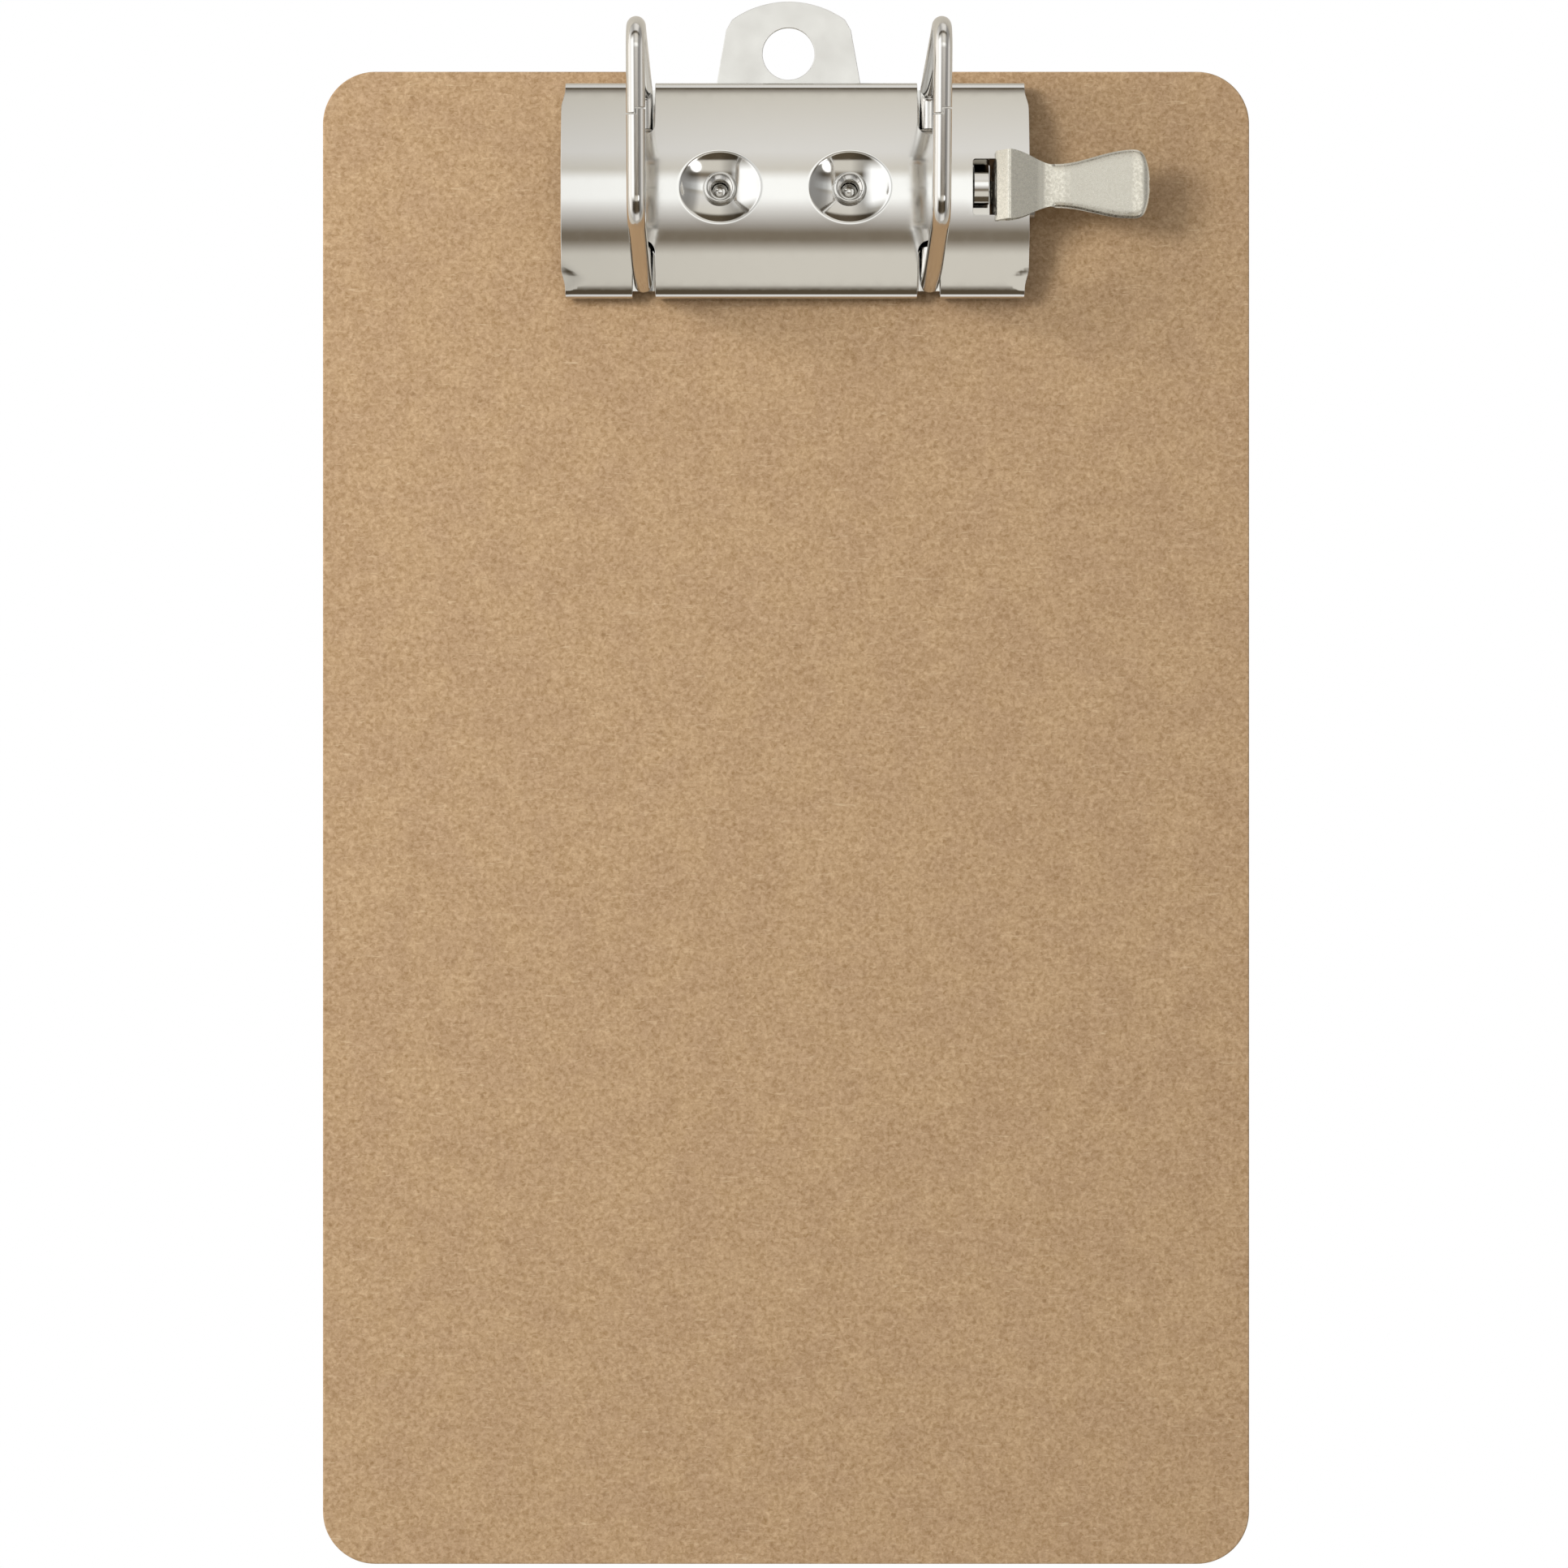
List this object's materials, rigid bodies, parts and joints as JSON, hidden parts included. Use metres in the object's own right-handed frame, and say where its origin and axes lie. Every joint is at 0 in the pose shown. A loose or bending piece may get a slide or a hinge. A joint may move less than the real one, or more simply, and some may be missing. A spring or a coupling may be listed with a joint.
{
  "type": "arch clipboard",
  "caption": "Hardboard clipboard with two lever-opened wire arches on a riveted cover plate and a hanging tab with a round hole.",
  "frame": {"origin": "centre of the board's flat back face", "axes": "+X to the right, +Y towards the arches and the hanging tab, +Z out of the writing face"},
  "size_m": [0.2286, 0.3853, 0.0687],
  "materials": {
    "hardboard": "smooth pressed hardboard, matt, mottled tan fibres",
    "nickel_plated_sheet": "bright nickel plate on pressed sheet steel",
    "nickel_plated_wire": "bright nickel plate on drawn steel wire",
    "bare_steel": "zinc-plated sheet steel, dull"
  },
  "bodies": {
    "base": {"board": "hardboard", "cover_plate": "nickel_plated_sheet", "hanger_plate": "nickel_plated_sheet", "left_rivet": "nickel_plated_sheet", "right_rivet": "nickel_plated_sheet", "left_spacer": "bare_steel", "right_spacer": "bare_steel", "left_washer": "bare_steel", "right_washer": "bare_steel", "lever_bracket": "bare_steel", "lever_pin": "bare_steel"},
    "front_arches": {"front_rail": "nickel_plated_sheet", "front_arch_left": "nickel_plated_wire", "front_arch_right": "nickel_plated_wire"},
    "rear_arches": {"rear_rail": "nickel_plated_sheet", "rear_arch_left": "nickel_plated_wire", "rear_arch_right": "nickel_plated_wire"},
    "lever_body": {"lever": "nickel_plated_sheet"}
  },
  "joints": [
    {"name": "lever_pivot", "type": "hinge", "parent": "base", "child": "lever_body", "pos_m": [0.0532, 0.15405, 0.0066], "axis": [0, 1, 0], "range_deg": [0, 16.5]},
    {"name": "front_arch_hinge", "type": "hinge", "parent": "base", "child": "front_arches", "pos_m": [0, 0.12965, 0.0065], "axis": [1, 0, 0], "range_deg": [0, 9]},
    {"name": "rear_arch_hinge", "type": "hinge", "parent": "base", "child": "rear_arches", "pos_m": [0, 0.17845, 0.0065], "axis": [1, 0, 0], "range_deg": [-9, 0]}
  ],
  "couplings": [
    {"joint": "front_arch_hinge", "follows": "lever_pivot", "ratio": 0.54},
    {"joint": "rear_arch_hinge", "follows": "lever_pivot", "ratio": -0.54}
  ]
}
